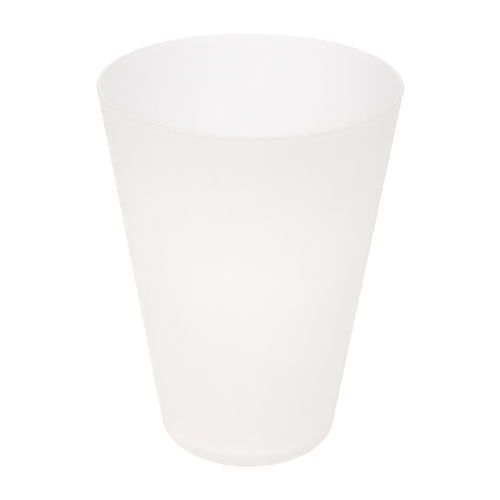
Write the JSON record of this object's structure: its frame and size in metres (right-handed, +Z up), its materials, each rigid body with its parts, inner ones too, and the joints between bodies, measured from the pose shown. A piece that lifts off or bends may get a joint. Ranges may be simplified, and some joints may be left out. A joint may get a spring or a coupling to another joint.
{
  "type": "reusable plastic cup",
  "caption": "Plain conical moulded drinking cup with a thin crowned lip, a narrow foot ring with a rounded heel and a floor raised inside it.",
  "frame": {"origin": "middle of the foot ring, on the surface that the cup stands on", "axes": "+Z up along the cup's axis, out of its mouth; X and Y are any two directions across it, because the cup is round"},
  "size_m": [0.0849, 0.0848, 0.1135],
  "materials": {
    "frosted_polypropylene": "natural polypropylene, milky and light-scattering, with a fine satin frost from the mould inside and out"
  },
  "bodies": {
    "root": {"cup": "frosted_polypropylene"}
  },
  "joints": []
}
